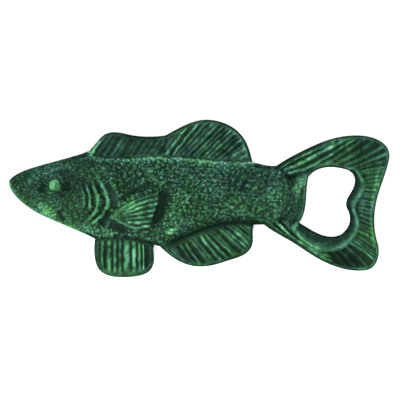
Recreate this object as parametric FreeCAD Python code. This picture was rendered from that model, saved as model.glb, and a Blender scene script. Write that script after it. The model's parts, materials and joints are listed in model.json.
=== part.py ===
import FreeCAD, Part
import math
import os

# Fish-shaped cast-iron bottle opener, drawn lying on its side.
# X runs from snout to tail, +Y towards the dorsal fins, Z through the thickness.
# The casting is mirror-symmetric about its parting plane (z = 0 while drawing).
# Every length is in millimetres.

os.makedirs("parts", exist_ok=True)
V = FreeCAD.Vector

FIN_T = 2.0          # half thickness of the fin webs
RAY_R = 0.75         # radius of a fin ray
PELVIC_RAY_R = 0.9   # the pelvic fin has fewer, stouter rays
TAIL_T = 2.4         # half thickness of the tail web
TAIL_RAY_R = 0.7
RIM_T = 3.3          # half thickness at the crest round the opening
LIP_T = 1.4          # half thickness at the inner edge of the opening
FULCRUM_T = 2.3      # half thickness of the lip the cap levers on
RIDGE_UP = 0.7       # how far a gill ridge stands above the cheek
PECTORAL_UP = 0.45   # pectoral fin height at its root
PECTORAL_TILT = 2.4  # degrees, lifts the trailing edge
SHOULDER_T = 5.2     # half thickness of the body under the pectoral fin's root
GROOVE_W = 0.8       # width of the grooves in the pectoral fin
GROOVE_DEEP = 0.5
GROOVE_FROM = 4.5    # how far from the fin's root its grooves start
GROOVE_ANGLES = (31.0, 14.0, -2.0, -18.0)
ARC_W = 1.5          # width of a gill ridge
RAY_INSET = 3.0      # how far a ray starts before the edge it fans out from
RAY_REACH = 60.0     # longer than any fin, rays are cut off at its outline
COLUMN = 12.0        # taller than half the casting, for solids that cut others
EYE = (-61.7, 5.6)
EYE_R = 3.8
EYE_Z = 2.4
JAW_SCALE = 0.93     # the jaw is a little thinner than the cheek above it

# Corner points where the outlines of neighbouring regions meet.
SNOUT = (-80.8, 2.7)
CROWN = (-54.0, 18.4)
NAPE = (-47.1, 20.9)
NOTCH = (-14.5, 27.3)
SADDLE = (-14.8, 18.0)
WRIST_UP = (23.2, 15.7)
ROOT_UP = (33.8, 14.2)
LIP_UP = (39.1, 6.2)
LIP_LOW = (35.5, -8.2)
ROOT_LOW = (28.2, -11.3)
WRIST_LOW = (23.8, -11.3)
TIP_UP = (82.5, 17.5)
TIP_LOW = (77.4, -19.3)
HOLE_UP = (47.4, 9.4)
HOLE_LOW = (43.4, -10.5)
RIM_LOW = (41.2, -12.3)
HOLE_FAR = (64.6, 12.3)
RIM_FAR = (66.6, 13.0)
LUG_IN = (64.8, -5.4)
LUG_OUT = (66.7, -5.4)
HOLE_FOOT = (61.8, -15.6)
RIM_FOOT = (64.4, -18.3)
VENT = (-16.9, -20.7)
BELLY = (-19.4, -20.0)
BREAST = (-45.0, -17.5)
THROAT = (-47.7, -16.1)
JOWL = (-55.1, -12.9)
CHIN = (-59.7, -10.9)
SHOULDER = (-38.2, -8.2)
PECTORAL_TOP = (-16.8, 3.9)
PECTORAL_FOOT = (-20.8, -12.2)


def curve(*pts):
    """Smooth edge through a few points of the parting plane."""
    spline = Part.BSplineCurve()
    spline.interpolate([V(x, y, 0) for x, y in pts])
    return spline.toShape()


def line(a, b):
    return Part.LineSegment(V(a[0], a[1], 0), V(b[0], b[1], 0)).toShape()


def prism(edges, low, high):
    """Upright solid over a closed outline."""
    wire = Part.Wire(Part.__sortEdges__(edges))
    face = Part.Face(wire)
    face.translate(V(0, 0, low))
    return face.extrude(V(0, 0, high - low))


def mirrored(shape):
    """Copy on the other side of the parting plane."""
    return shape.mirror(V(0, 0, 0), V(0, 0, 1))


def single(shape):
    """Largest solid of a boolean result, with split faces merged."""
    solids = sorted(shape.Solids, key=lambda s: s.Volume)
    return solids[-1].removeSplitter()


# Outlines. Two regions that touch share the same edge.
snout_top = curve(SNOUT, (-81.8, 4.4), (-82.4, 6.7), (-81.8, 8.3), (-80.1, 9.8),
                  (-77.5, 11.2), (-69.7, 14.0), (-61.0, 16.4), CROWN)
crown = curve(CROWN, (-50.4, 19.5), NAPE)
jaw_edge = curve(SNOUT, (-77.5, -0.9), (-72.3, -4.9), (-66.1, -8.2), CHIN)
jowl = curve(CHIN, (-57.4, -11.9), JOWL)
throat = curve(JOWL, (-51.4, -14.5), THROAT)
breast = line(THROAT, BREAST)
mouth = curve(SNOUT, (-75.5, 0.2), (-68.2, -2.4), (-61.6, -5.4), (-60.0, -7.6), CHIN)
cheek = curve(CROWN, (-53.4, 12.4), (-51.0, 3.5), (-51.4, -5.0), (-53.6, -9.8), JOWL)
gill_edge = curve(NAPE, (-46.2, 15.4), (-43.6, 8.9), (-40.2, 4.0), (-38.6, -1.1),
                  (-40.0, -5.9), (-43.4, -9.8), (-46.4, -12.6), THROAT)
spiny_edge = curve(NAPE, (-45.5, 22.9), (-43.6, 25.2), (-41.6, 27.2), (-38.8, 28.5),
                   (-35.0, 28.6), (-29.0, 27.4), (-22.0, 26.8), NOTCH)
soft_edge = curve(NOTCH, (-11.0, 29.2), (-5.0, 32.2), (2.5, 34.1), (10.0, 33.0),
                  (16.0, 29.8), (20.3, 24.6), (22.2, 19.6), WRIST_UP)
fin_gap = curve(SADDLE, (-15.1, 22.0), NOTCH)
back_front = curve(NAPE, (-45.3, 19.0), (-41.5, 17.9), (-30.0, 17.6), SADDLE)
back_rear = curve(SADDLE, (-5.0, 17.8), (6.0, 16.6), (16.0, 16.1), WRIST_UP)
pelvic_edge = curve(BELLY, (-19.7, -22.5), (-19.5, -27.0), (-21.1, -31.1), (-26.4, -33.6),
                    (-32.0, -34.1), (-38.0, -33.7), (-42.8, -31.3), (-45.1, -25.8), BREAST)
belly_front = curve(BREAST, (-38.6, -17.2), (-32.1, -17.0), (-25.5, -18.3), BELLY)
belly_notch = line(BELLY, VENT)
anal_edge = curve(VENT, (-14.6, -22.9), (-8.5, -27.2), (-2.0, -29.3), (5.0, -29.1),
                  (14.0, -26.5), (20.9, -23.4), (22.9, -20.6), (23.3, -15.6), WRIST_LOW)
belly_rear = curve(VENT, (-12.5, -19.4), (-6.0, -16.8), (1.5, -13.6), (8.5, -11.5),
                   (16.5, -10.5), WRIST_LOW)
wrist = line(WRIST_UP, WRIST_LOW)
wrist_top = curve(WRIST_UP, (27.0, 14.8), (31.0, 14.1), ROOT_UP)
wrist_low = line(WRIST_LOW, ROOT_LOW)
root_top = curve(ROOT_UP, (37.1, 11.0), LIP_UP)
root_mid = curve(LIP_UP, (40.0, 1.0), (38.6, -4.2), LIP_LOW)
root_low = curve(LIP_LOW, (32.0, -10.2), ROOT_LOW)
tail_top = curve(ROOT_UP, (37.3, 16.5), (45.0, 20.6), (55.0, 25.0), (62.0, 26.8),
                 (69.0, 27.3), (76.0, 26.1), (81.2, 22.6), TIP_UP)
tail_rear = curve(TIP_UP, (80.0, 8.7), (76.9, -1.2), (76.0, -11.0), TIP_LOW)
tail_low = curve(TIP_LOW, (77.8, -24.6), (75.1, -30.0), (69.0, -31.3), (61.3, -30.1),
                 (50.2, -25.2), (40.0, -18.6), (33.0, -14.6), ROOT_LOW)
hole_left = curve(HOLE_UP, (46.5, 1.5), (45.5, -6.0), HOLE_LOW)
hole_top = curve(HOLE_UP, (51.9, 12.7), (58.0, 13.6), HOLE_FAR)
lug_in = curve(HOLE_FAR, (67.6, 8.4), (66.8, 4.2), (64.3, -0.2), LUG_IN)
hole_right = curve(LUG_IN, (65.4, -10.0), HOLE_FOOT)
hole_low = curve(HOLE_FOOT, (57.0, -16.6), (50.0, -14.4), HOLE_LOW)
lug_out = curve(RIM_FAR, (69.9, 8.9), (70.6, 4.4), (67.3, -1.4), LUG_OUT)
rim_right = curve(LUG_OUT, (68.2, -11.7), RIM_FOOT)
rim_low = curve(RIM_FOOT, (58.0, -21.9), (49.0, -20.0), RIM_LOW)
lobe_split_up = line(TIP_UP, RIM_FAR)
lobe_split_low = line(TIP_LOW, RIM_FOOT)
lip_top = line(LIP_UP, HOLE_UP)
lip_low = line(LIP_LOW, HOLE_LOW)
rim_start = line(HOLE_LOW, RIM_LOW)
rim_end = line(HOLE_FAR, RIM_FAR)
lug_cut = line(LUG_IN, LUG_OUT)
pectoral_edge = [curve(SHOULDER, (-35.1, -4.8), (-28.0, -0.6), PECTORAL_TOP),
                 curve(PECTORAL_TOP, (-17.4, -0.5), PECTORAL_FOOT),
                 curve(PECTORAL_FOOT, (-25.1, -13.5), (-32.0, -11.8), SHOULDER)]

# Body: domed cross-sections at stations along the fish.
# Each is (x, lower y, upper y, half thickness, edge half thickness).
STATIONS = [
    (-86.0, 4.0, 9.0, 1.2, 0.8),
    (-82.6, 0.0, 12.0, 2.2, 1.1),
    (-78.0, -2.4, 12.8, 3.2, 1.3),
    (-71.0, -6.6, 14.9, 4.2, 1.6),
    (-63.0, -10.7, 17.0, 4.8, 1.9),
    (-54.0, -14.6, 19.6, 5.1, 2.2),
    (-46.5, -18.0, 21.5, 5.2, 2.4),
    (-38.0, -18.6, 19.6, 5.2, 2.4),
    (-28.0, -19.0, 19.0, 5.2, 2.4),
    (-18.0, -21.4, 19.1, 5.1, 2.4),
    (-8.0, -18.8, 18.9, 5.0, 2.4),
    (4.0, -13.8, 18.0, 4.8, 2.4),
    (15.0, -11.8, 17.3, 4.5, 2.4),
    (25.0, -12.2, 16.4, 4.1, 2.4),
    (33.0, -11.4, 15.4, 3.8, 2.5),
    (42.0, -8.0, 12.0, 3.6, 2.6),
]


def section(x, low, high, top, edge):
    """Closed cross-section, domed on both faces with a narrow straight rim."""
    mid = 0.5 * (low + high)
    half = 0.5 * (high - low)
    dome = []
    for t in (-1.0, -0.86, -0.6, -0.3, 0.0, 0.3, 0.6, 0.86, 1.0):
        z = edge + (top - edge) * (1.0 - t * t) ** 0.7
        dome.append(V(x, mid + half * t, z))
    under = [V(p.x, p.y, -p.z) for p in dome]
    front = Part.BSplineCurve()
    front.interpolate(dome)
    back = Part.BSplineCurve()
    back.interpolate(under[::-1])
    sides = [Part.LineSegment(dome[-1], under[-1]).toShape(),
             Part.LineSegment(under[0], dome[0]).toShape()]
    return Part.Wire([front.toShape(), sides[0], back.toShape(), sides[1]])


body = Part.makeLoft([section(*s) for s in STATIONS], True, False)


def lifted(amount):
    copy = body.copy()
    copy.translate(V(0, 0, amount))
    return copy


def of_body(edges):
    """Region of the domed body."""
    return single(body.common(prism(edges, -COLUMN, COLUMN)))


def ray(x, y, angle, length, radius, level):
    """Half-round ridge starting at (x, y) and running at an angle in plan."""
    way = V(math.cos(math.radians(angle)), math.sin(math.radians(angle)), 0)
    return Part.makeCylinder(radius, length, V(x, y, level), way)


def fan(base, first, last, count, a0, a1, setback=RAY_INSET, length=RAY_REACH):
    """Rays starting along a base edge: (x, y, angle, length) for each."""
    rays = []
    span = base.LastParameter - base.FirstParameter
    for i in range(count):
        t = i / (count - 1.0)
        at = base.valueAt(base.FirstParameter + span * (first + (last - first) * t))
        angle = a0 + (a1 - a0) * t
        x = at.x - setback * math.cos(math.radians(angle))
        y = at.y - setback * math.sin(math.radians(angle))
        rays.append((x, y, angle, length))
    return rays


def fin(edges, rays, level, radius):
    """Web over a closed outline with half-round rays on both faces."""
    web = prism(edges, -level, level)
    column = prism(edges, -COLUMN, COLUMN)
    ridges = []
    for x, y, angle, length in rays:
        one = ray(x, y, angle, length, radius, level).common(column)
        ridges += one.Solids
        ridges += mirrored(one).Solids
    return single(web.multiFuse(ridges))


def ribbon(outer, inner, high, low):
    """Bevelled strip between two edges, thick at the outer and thin at the inner."""
    faces = []
    for side in (1, -1):
        a = outer.copy()
        a.translate(V(0, 0, side * high))
        b = inner.copy()
        b.translate(V(0, 0, side * low))
        faces.append(Part.makeRuledSurface(a, b))
    for edge, level in ((outer, high), (inner, low)):
        wall = edge.copy()
        wall.translate(V(0, 0, -level))
        faces.append(wall.extrude(V(0, 0, 2 * level)))
    ends = ((outer.firstVertex(True), inner.firstVertex(True)),
            (outer.lastVertex(True), inner.lastVertex(True)))
    for o, i in ends:
        p = o.Point
        q = i.Point
        loop = [V(p.x, p.y, high), V(q.x, q.y, low), V(q.x, q.y, -low), V(p.x, p.y, -high)]
        faces.append(Part.Face(Part.makePolygon(loop + loop[:1])))
    shell = Part.Shell(faces)
    shell.sewShape()
    solid = Part.Solid(shell)
    if solid.Volume < 0:
        solid.reverse()
    return solid


def arc_ridge(points, width):
    """Ridge of the gill cover that follows the swell of the cheek."""
    left = []
    right = []
    for i, (x, y) in enumerate(points):
        ahead = points[min(i + 1, len(points) - 1)]
        behind = points[max(i - 1, 0)]
        dx = ahead[0] - behind[0]
        dy = ahead[1] - behind[1]
        size = math.hypot(dx, dy)
        half = 0.5 * width
        left.append((x - dy / size * half, y + dx / size * half))
        right.append((x + dy / size * half, y - dx / size * half))
    edges = [curve(*left), curve(*right), line(left[0], right[0]), line(left[-1], right[-1])]
    return prism(edges, 0, COLUMN).common(lifted(RIDGE_UP))


nodes = {}

nodes["head"] = of_body([snout_top, cheek, jowl, mouth])
jaw = of_body([mouth, jaw_edge])
thin = FreeCAD.Matrix()
thin.scale(1.0, 1.0, JAW_SCALE)
nodes["lower_jaw"] = jaw.transformGeometry(thin)

gill_region = [crown, gill_edge, throat, cheek]
gill_cover = of_body(gill_region)
GILL_ARCS = [
    [(-44.4, 8.9), (-41.4, 3.9), (-40.0, -1.4), (-41.6, -6.5), (-44.6, -9.6), (-47.3, -11.6)],
    [(-46.6, 7.4), (-44.6, 2.4), (-43.5, -2.4), (-45.0, -6.3), (-48.2, -9.4)],
    [(-48.6, 6.4), (-47.0, 2.0), (-46.6, -2.0), (-47.8, -5.6)],
]
gill_column = prism(gill_region, 0, COLUMN)
ridges = []
for arc in GILL_ARCS:
    bar = arc_ridge(arc, ARC_W).common(gill_column)
    ridges += bar.Solids
    ridges += mirrored(bar).Solids
nodes["gill_cover"] = single(gill_cover.multiFuse(ridges))

nodes["trunk"] = of_body([back_front, back_rear, wrist, belly_rear, belly_notch,
                          belly_front, breast, gill_edge])
nodes["tail_root"] = of_body([wrist, wrist_top, root_top, root_mid, root_low, wrist_low])

ball = Part.makeSphere(EYE_R, V(EYE[0], EYE[1], EYE_Z))
nodes["front_eye"] = single(ball.cut(body))
nodes["back_eye"] = mirrored(nodes["front_eye"])

# Pectoral fin: a raised pad whose trailing edge stands proud of the flank.
cap = lifted(PECTORAL_UP)
cap.rotate(V(SHOULDER[0], 0, PECTORAL_UP + SHOULDER_T), V(0, 1, 0), -PECTORAL_TILT)
pad = prism(pectoral_edge, 0, COLUMN).common(cap)
floor = cap.copy()
floor.translate(V(0, 0, -GROOVE_DEEP))
grooves = []
for angle in GROOVE_ANGLES:
    groove = Part.makeBox(RAY_REACH, GROOVE_W, COLUMN, V(GROOVE_FROM, -0.5 * GROOVE_W, 0))
    groove.rotate(V(0, 0, 0), V(0, 0, 1), angle)
    groove.translate(V(SHOULDER[0], SHOULDER[1], 0))
    grooves.append(groove.cut(floor))
nodes["front_pectoral_fin"] = single(pad.cut(body).cut(Part.makeCompound(grooves)))
nodes["back_pectoral_fin"] = mirrored(nodes["front_pectoral_fin"])

spiny_rays = fan(back_front, 0.06, 0.88, 11, 58, 58)
nodes["spiny_dorsal_fin"] = fin([back_front, fin_gap, spiny_edge], spiny_rays, FIN_T, RAY_R)
soft_rays = fan(back_rear, -0.02, 0.94, 14, 54, 26)
nodes["soft_dorsal_fin"] = fin([back_rear, soft_edge, fin_gap], soft_rays, FIN_T, RAY_R)
pelvic_rays = fan(belly_front, 0.12, 0.88, 7, -91, -86)
nodes["pelvic_fin"] = fin([belly_front, pelvic_edge], pelvic_rays, FIN_T, PELVIC_RAY_R)
anal_rays = fan(belly_rear, -0.03, 0.92, 14, -58, -36)
nodes["anal_fin"] = fin([belly_rear, anal_edge], anal_rays, FIN_T, RAY_R)

upper_rays = fan(root_top, 0.12, 0.95, 5, 29, 17) + fan(hole_top, 0.35, 0.9, 3, 15, 12, 0.0)
nodes["tail_upper_lobe"] = fin([root_top, tail_top, lobe_split_up, rim_end, hole_top, lip_top],
                               upper_rays, TAIL_T, TAIL_RAY_R)
web_rays = fan(tail_rear, 0.08, 0.95, 9, 10, -30, 8.0, 7.4)
nodes["tail_rear_web"] = fin([lobe_split_up, tail_rear, lobe_split_low, rim_right, lug_out],
                             web_rays, TAIL_T, TAIL_RAY_R)
lower_rays = fan(root_low, 0.35, 0.9, 3, -32, -30) + fan(rim_low, 0.02, 0.5, 5, -28, -33, 1.0)
nodes["tail_lower_lobe"] = fin([root_low, lip_low, rim_start, rim_low, lobe_split_low, tail_low],
                               lower_rays, TAIL_T, TAIL_RAY_R)
nodes["fulcrum_lip"] = ribbon(root_mid, hole_left, RIM_T, FULCRUM_T)
nodes["lifting_lug"] = ribbon(lug_out, lug_in, RIM_T, LIP_T)
foot = ribbon(rim_right, hole_right, RIM_T, LIP_T)
nodes["opening_rim"] = single(foot.fuse(ribbon(rim_low, hole_low, RIM_T, LIP_T)))

# Sit the casting on z = 0 with its box centred over the origin.
box = Part.makeCompound(list(nodes.values())).optimalBoundingBox(False, False)
shift = V(-0.5 * (box.XMin + box.XMax), -0.5 * (box.YMin + box.YMax), -box.ZMin)
for name, shape in nodes.items():
    shape.translate(shift)
    shape.exportStep("parts/" + name + ".step")
    print(name, shape.ShapeType, shape.isValid(), round(shape.Volume, 1))
print("box", box.XLength, box.YLength, box.ZLength)
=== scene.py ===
"""Looks of the fish-shaped bottle opener: a relief-cast iron fish with a dry-brushed verdigris paint.

Each region of the casting gets its own closed mesh over the outline of its CAD solid. Plan
coordinates and heights are in millimetres in the row frame, heights counted from the parting plane.
"""
import json
import math

import bpy
import numpy as np
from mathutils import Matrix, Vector, kdtree
from mathutils.geometry import delaunay_2d_cdt

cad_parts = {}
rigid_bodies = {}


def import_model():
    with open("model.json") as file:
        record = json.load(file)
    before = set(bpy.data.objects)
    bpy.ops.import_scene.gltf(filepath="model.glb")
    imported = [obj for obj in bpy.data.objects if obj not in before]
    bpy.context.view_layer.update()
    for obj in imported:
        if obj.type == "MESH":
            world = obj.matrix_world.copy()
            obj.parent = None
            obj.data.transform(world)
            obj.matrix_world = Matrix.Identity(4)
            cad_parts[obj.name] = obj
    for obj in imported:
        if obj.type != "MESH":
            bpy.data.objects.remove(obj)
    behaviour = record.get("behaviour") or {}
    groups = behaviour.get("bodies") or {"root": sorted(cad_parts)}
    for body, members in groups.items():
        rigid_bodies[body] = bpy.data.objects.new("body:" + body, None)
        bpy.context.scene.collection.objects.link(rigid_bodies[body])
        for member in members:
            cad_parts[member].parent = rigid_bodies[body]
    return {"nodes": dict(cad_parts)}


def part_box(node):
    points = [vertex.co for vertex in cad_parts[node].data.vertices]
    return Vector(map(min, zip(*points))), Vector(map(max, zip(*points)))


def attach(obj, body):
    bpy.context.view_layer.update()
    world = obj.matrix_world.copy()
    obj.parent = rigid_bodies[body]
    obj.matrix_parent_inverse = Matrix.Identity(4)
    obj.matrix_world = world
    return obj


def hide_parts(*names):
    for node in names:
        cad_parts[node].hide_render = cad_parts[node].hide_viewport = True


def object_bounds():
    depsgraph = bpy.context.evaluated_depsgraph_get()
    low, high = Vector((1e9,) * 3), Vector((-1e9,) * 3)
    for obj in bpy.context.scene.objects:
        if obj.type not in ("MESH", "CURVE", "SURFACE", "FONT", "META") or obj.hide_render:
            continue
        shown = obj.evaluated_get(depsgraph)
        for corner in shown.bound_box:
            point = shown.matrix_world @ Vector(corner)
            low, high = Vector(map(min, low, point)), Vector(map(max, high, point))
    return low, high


MM = 0.001
SPACING = 0.26                      # distance between surface points
CORNER = math.radians(25)           # an outline that turns by more than this has a corner
SAME_POINT = 0.56 * SPACING         # outline points nearer than this are one point
CUT_LIFT = 0.001                    # outlines are cut this far over the parting plane
EDGE_ROWS = (0.07, 0.2, 0.42, 0.7)  # depths of extra rows of points inside a rounded edge
EDGE_T = 0.3                        # half thickness left at a free edge
FLASH = 0.07                        # how far the parting line stands out
FIN_T = 1.9                         # half thickness of a fin web at its outer part
TAIL_T = 2.2                        # half thickness of the tail web beside its wrist
CREST_T = 3.1                       # half thickness at the crest round the opening
LIP_T = 1.2                         # half thickness at the inner edge of the opening
BODY_EDGE_T = 2.3                   # half thickness of the body where a fin joins it
SCALE_PITCH = 1.55                  # distance between scales
SCALE_UP = 0.42                     # height of the scales
SCALE_ROOM = 0.3                    # how far the smooth body stays under the CAD surface
EYE_ROOM = 0.3                      # how far the eyes stay under the top of the CAD box
OPENING_BOX = (42.0, 72.0, 18.0)    # X range and half height that hold the opening
NOISE_CELLS = 256                   # cells of the noise lattice, each way
SCALE_CELLS = 512                   # cells of the scale pattern, each way
RIM_GREEN = 0.25                    # share of the grass green that the opening's rim takes
BELLY_BUMP = (-12.0, -14.0)         # grass-green bump in front of the anal fin
LOW_TIP = (63.0, -26.0)             # blue-green tip of the lower tail lobe
SEED = 7

BODY = ("trunk", "gill_cover", "head", "lower_jaw", "tail_root")
FINS = ("spiny_dorsal_fin", "soft_dorsal_fin", "pelvic_fin", "anal_fin")
TAIL = ("tail_upper_lobe", "tail_rear_web", "tail_lower_lobe")
RIM = ("opening_rim", "lifting_lug", "fulcrum_lip")
REGIONS = BODY + FINS + TAIL + RIM

# Half thickness of the body along the fish: (share of its length, share of the trunk's).
SWELL = ((0.0, 0.50), (0.03, 0.66), (0.08, 0.83), (0.15, 0.93), (0.22, 0.98), (0.30, 1.0),
         (0.45, 0.98), (0.55, 0.93), (0.62, 0.86), (0.68, 0.79), (0.75, 0.72))

for leftover in list(bpy.data.objects):
    bpy.data.objects.remove(leftover)
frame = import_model()
cad_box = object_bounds()
LOW = np.array(cad_box[0]) / MM
HIGH = np.array(cad_box[1]) / MM
MID = 0.5 * (LOW[2] + HIGH[2])
HALF_T = 0.5 * (HIGH[2] - LOW[2])
BODY_T = 0.5 * (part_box("trunk")[1].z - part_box("trunk")[0].z) / MM - SCALE_ROOM


# ---------------------------------------------------------------- small tools

def smooth(x, low=0.0, high=1.0):
    """Smooth step from 0 at low to 1 at high."""
    t = np.clip((x - low) / (high - low), 0.0, 1.0)
    return t * t * (3.0 - 2.0 * t)


def bell(distance, width):
    """1 at no distance, falling off smoothly over about a width."""
    return np.exp(-(distance / width) ** 2)


def spline(points, steps=10):
    """Dense polyline through a few points (Catmull-Rom)."""
    p = np.array(points, float)
    p = np.vstack([2 * p[0] - p[1], p, 2 * p[-1] - p[-2]])
    out = []
    for i in range(1, len(p) - 2):
        for t in np.arange(steps) / steps:
            a = 2 * p[i]
            b = p[i + 1] - p[i - 1]
            c = 2 * p[i - 1] - 5 * p[i] + 4 * p[i + 1] - p[i + 2]
            d = -p[i - 1] + 3 * p[i] - 3 * p[i + 1] + p[i + 2]
            out.append(0.5 * (a + b * t + c * t ** 2 + d * t ** 3))
    out.append(p[-2])
    return np.array(out)


def to_path(points, path):
    """Distance to a polyline and how far along it (0 to 1) the nearest spot is."""
    steps = np.hypot(*np.diff(path, axis=0).T)
    start = np.concatenate([[0], np.cumsum(steps)])
    best = np.full(len(points), 1e9)
    along = np.zeros(len(points))
    for i, length in enumerate(steps):
        d = (path[i + 1] - path[i]) / length
        t = np.clip((points - path[i]) @ d, 0, length)
        gap = np.hypot(*(points - path[i] - t[:, None] * d).T)
        nearer = gap < best
        best = np.where(nearer, gap, best)
        along = np.where(nearer, (start[i] + t) / start[-1], along)
    return best, along


def nearest(points, targets):
    """Distance from each point to the nearest target point, and which target."""
    tree = kdtree.KDTree(len(targets))
    for i, (x, y) in enumerate(targets):
        tree.insert((x, y, 0), i)
    tree.balance()
    found = [tree.find((x, y, 0)) for x, y in points]
    return np.array([f[2] for f in found]), np.array([f[1] for f in found])


def lattice_noise(points, pitch, seed):
    """Smooth random field from -1 to 1 with features about pitch across."""
    rng = np.random.default_rng(seed)
    grid = rng.uniform(-1, 1, (NOISE_CELLS, NOISE_CELLS))
    u = points / pitch + NOISE_CELLS / 4
    cell = np.floor(u).astype(int)
    f = u - cell
    f = f * f * (3 - 2 * f)
    i, j = (cell % (NOISE_CELLS - 1)).T
    top = grid[i, j] * (1 - f[:, 0]) + grid[i + 1, j] * f[:, 0]
    low = grid[i, j + 1] * (1 - f[:, 0]) + grid[i + 1, j + 1] * f[:, 0]
    return top * (1 - f[:, 1]) + low * f[:, 1]


# ------------------------------------------------- outlines from the CAD frame

def welded(node):
    """A CAD node's points in millimetres, welded, and its triangles."""
    mesh = frame["nodes"][node].data
    mesh.calc_loop_triangles()
    points = np.empty(len(mesh.vertices) * 3)
    mesh.vertices.foreach_get("co", points)
    points = points.reshape(-1, 3) / MM
    corners = np.empty(len(mesh.loop_triangles) * 3, int)
    mesh.loop_triangles.foreach_get("vertices", corners)
    _, first, same = np.unique(np.round(points, 4), axis=0, return_index=True, return_inverse=True)
    return points[first], same.reshape(-1)[corners].reshape(-1, 3)


def chained(pairs):
    """Keys in the order in which the pairs join them into one closed loop."""
    joined = {}
    for a, b in pairs:
        joined.setdefault(a, []).append(b)
        joined.setdefault(b, []).append(a)
    here = next(iter(joined))
    order = [here]
    seen = {here}
    while True:
        ahead = [k for k in joined[here] if k not in seen]
        if not ahead:
            return order
        here = ahead[0]
        seen.add(here)
        order.append(here)


def anticlockwise(loop):
    """The same loop, turned round if it runs clockwise."""
    x, y = loop.T
    area = np.sum(x * np.roll(y, -1) - np.roll(x, -1) * y)
    return loop if area > 0 else loop[::-1]


def cut_outline(node):
    """Outline of a CAD node at the parting plane."""
    points, triangles = welded(node)
    level = MID + CUT_LIFT
    above = points[:, 2] > level
    crossing = {}
    pairs = []
    for t in triangles[above[triangles].any(1) & ~above[triangles].all(1)]:
        ends = []
        for a, b in ((t[0], t[1]), (t[1], t[2]), (t[2], t[0])):
            if above[a] != above[b]:
                key = (min(a, b), max(a, b))
                share = (level - points[a, 2]) / (points[b, 2] - points[a, 2])
                crossing[key] = points[a, :2] + share * (points[b, :2] - points[a, :2])
                ends.append(key)
        pairs.append(ends)
    return anticlockwise(np.array([crossing[k] for k in chained(pairs)]))


def pad_outline(node, side):
    """Plan outline of a raised pad, from the edge of the face it sits on."""
    points, triangles = welded(node)
    p, q, r = (points[triangles[:, k]] for k in range(3))
    normal = np.cross(q - p, r - p)
    under = triangles[side * normal[:, 2] < -0.2 * np.linalg.norm(normal, axis=1)]
    edges = np.vstack([under[:, [0, 1]], under[:, [1, 2]], under[:, [2, 0]]])
    keys, uses = np.unique(np.sort(edges, axis=1), axis=0, return_counts=True)
    return anticlockwise(points[chained([tuple(k) for k in keys[uses == 1]])][:, :2])


def resampled(loop, step):
    """Points a step apart along a closed loop, keeping its corners."""
    back = loop - np.roll(loop, 1, axis=0)
    ahead = np.roll(loop, -1, axis=0) - loop
    turn = np.arctan2(back[:, 0] * ahead[:, 1] - back[:, 1] * ahead[:, 0], (back * ahead).sum(1))
    corners = np.flatnonzero(np.abs(turn) > CORNER)
    if len(corners) == 0:
        corners = np.array([0])
    out = []
    for i, start in enumerate(corners):
        stop = corners[(i + 1) % len(corners)]
        if stop <= start:
            stop += len(loop)
        run = loop[np.arange(start, stop + 1) % len(loop)]
        lengths = np.concatenate([[0], np.cumsum(np.hypot(*np.diff(run, axis=0).T))])
        count = max(1, int(round(lengths[-1] / step)))
        at = np.linspace(0, lengths[-1], count + 1)[:-1]
        out.append(np.column_stack([np.interp(at, lengths, run[:, k]) for k in (0, 1)]))
    return np.vstack(out)


def without_repeats(loop):
    """The same loop with no number twice in a row."""
    return [k for i, k in enumerate(loop) if k != loop[i - 1]]


def shared_outlines():
    """All outlines as loops of point numbers, where neighbours share their seam's points.

    Each outline is sampled at half the spacing. A sample on an earlier outline takes that
    outline's nearest point, and elsewhere every other sample becomes a new point.
    """
    points = []
    loops = {}
    for node in REGIONS:
        fine = resampled(cut_outline(node), SPACING / 2)
        if points:
            gap, which = nearest(fine, points)
        else:
            gap, which = np.full(len(fine), 1e9), np.zeros(len(fine), int)
        loop = []
        fresh = 0
        for p, g, w in zip(fine, gap, which):
            if g < SAME_POINT:
                loop.append(int(w))
                fresh = 0
            else:
                if fresh % 2 == 0:
                    points.append(p)
                    loop.append(len(points) - 1)
                fresh += 1
        loop = without_repeats(loop)
        loop = [k for i, k in enumerate(loop) if loop[i - 1] != loop[(i + 1) % len(loop)]]
        loops[node] = without_repeats(loop)
    return np.array(points), loops


def edges_of(loop):
    """Pairs of neighbouring numbers round a loop."""
    return np.column_stack([loop, np.roll(loop, -1)])


def dense(points, edges, step=0.05):
    """Points along edges, close together."""
    out = []
    for a, b in edges:
        length = np.hypot(*(points[b] - points[a]))
        t = np.linspace(0, 1, max(2, int(length / step) + 1))[:, None]
        out.append(points[a] * (1 - t) + points[b] * t)
    return np.vstack(out)


def hexagonal(low, high, pitch):
    """Triangular lattice of points over a rectangle."""
    rise = pitch * math.sqrt(0.75)
    rows = np.arange(low[1], high[1], rise)
    out = []
    for k, y in enumerate(rows):
        x = np.arange(low[0] + 0.5 * pitch * (k % 2), high[0], pitch)
        out.append(np.column_stack([x, np.full(len(x), y)]))
    return np.vstack(out)


def triangulated(points, loops, inner):
    """Triangles of every loop's inside, and the number of the loop that each lies in."""
    everything = [Vector(p) for p in np.vstack([points, inner])]
    result = delaunay_2d_cdt(everything, [], loops, 1, 1e-6, True)
    places = np.array([v[:] for v in result[0]])
    triangles = np.array([f for f, o in zip(result[2], result[5]) if o])
    owner = np.array([o[0] for o in result[5] if o])
    p, q, r = (places[triangles[:, k]] for k in range(3))
    area = (q[:, 0] - p[:, 0]) * (r[:, 1] - p[:, 1]) - (q[:, 1] - p[:, 1]) * (r[:, 0] - p[:, 0])
    triangles[area < 0] = triangles[area < 0][:, ::-1]
    keep = np.abs(area) > 1e-9
    return places, triangles[keep], owner[keep]


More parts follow.
